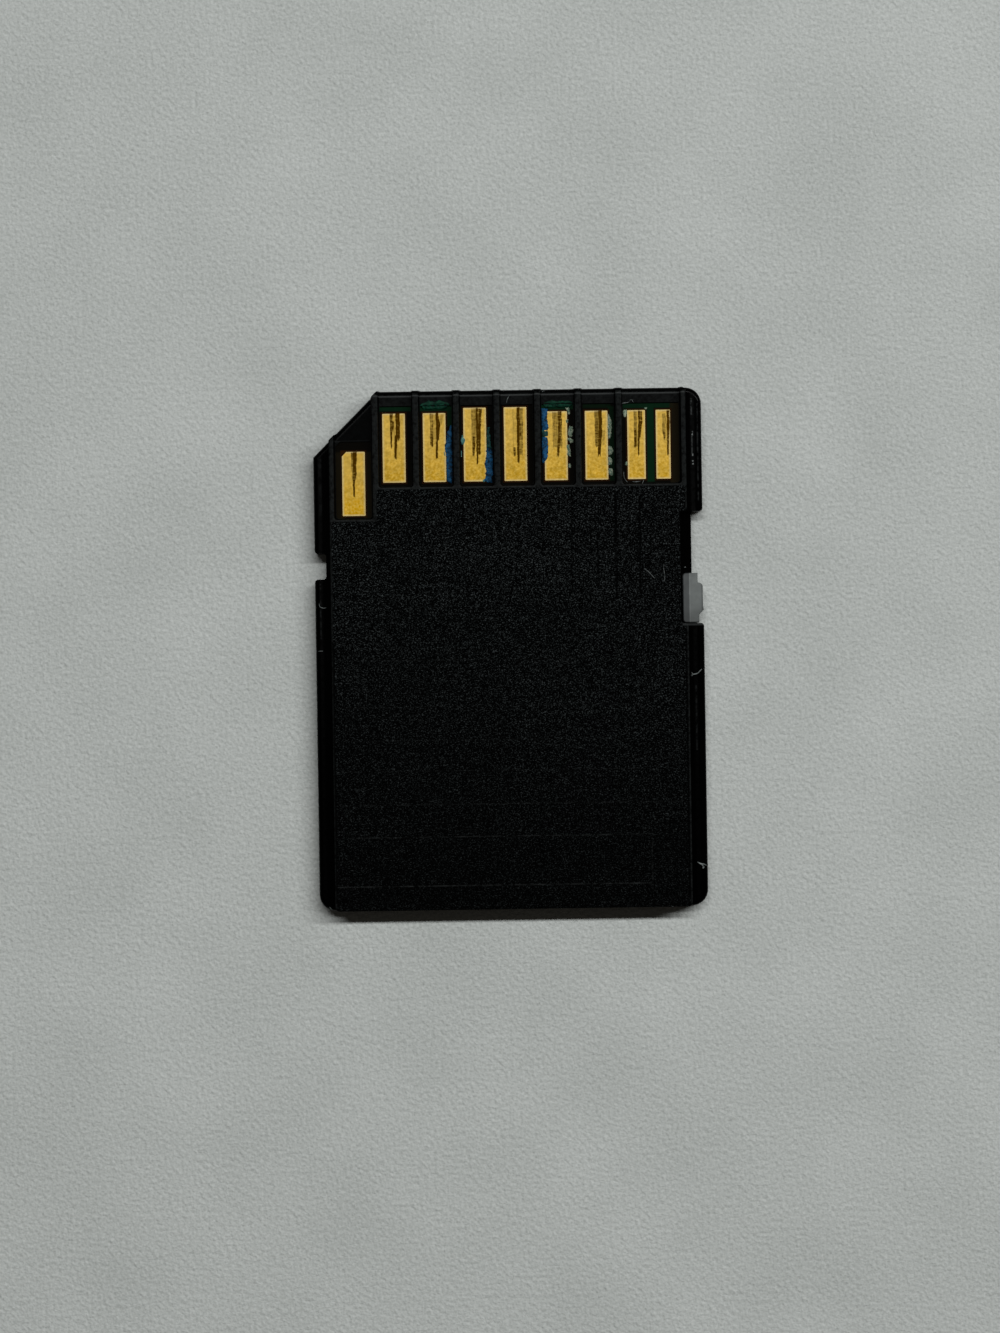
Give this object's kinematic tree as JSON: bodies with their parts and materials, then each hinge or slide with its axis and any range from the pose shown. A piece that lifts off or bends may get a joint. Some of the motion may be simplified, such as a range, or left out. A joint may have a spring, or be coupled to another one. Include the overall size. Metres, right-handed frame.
{
  "type": "memory card",
  "caption": "Flat rectangular flash memory card with a bevelled corner, a comb of contact windows with gold pads, stepped side rails and a sliding write-protect lock.",
  "frame": {"origin": "middle of the card's outline, on the label face that it lies on", "axes": "+X to the lock slider's edge, +Y to the contact end, +Z out of the contact side"},
  "size_m": [0.024, 0.032, 0.0021],
  "materials": {
    "shell_plastic": "spark-eroded black moulding",
    "slider_plastic": "milky translucent moulding",
    "board_mask": "dark green solder mask on glass-epoxy board",
    "contact_gold": "gold plating on copper, wiped by contacts",
    "package_resin": "black epoxy moulding",
    "tinned_lead": "matt tin plating",
    "capacitor_ceramic": "fired tan ceramic with tinned ends",
    "resistor_ceramic": "black glazed film with tinned ends"
  },
  "bodies": {
    "card": {"contact_shell": "shell_plastic", "label_shell": "shell_plastic", "circuit_board": "board_mask", "flash_chip": "package_resin", "controller_chip": "package_resin", "flash_chip_leads": "tinned_lead", "contact_pad_1": "contact_gold", "contact_pad_2": "contact_gold", "contact_pad_3": "contact_gold", "contact_pad_4": "contact_gold", "contact_pad_5": "contact_gold", "contact_pad_6": "contact_gold", "contact_pad_7": "contact_gold", "contact_pad_8": "contact_gold", "contact_pad_9": "contact_gold", "capacitor_1": "capacitor_ceramic", "capacitor_2": "capacitor_ceramic", "capacitor_3": "capacitor_ceramic", "capacitor_4": "capacitor_ceramic", "resistor_1": "resistor_ceramic", "resistor_2": "resistor_ceramic", "resistor_3": "resistor_ceramic", "resistor_4": "resistor_ceramic"},
    "lock_slider": {"lock_slider": "slider_plastic"}
  },
  "joints": [
    {"name": "lock_slide", "type": "slide", "parent": "card", "child": "lock_slider", "axis": [0, 1, 0], "range_m": [0, 0.0035]}
  ]
}
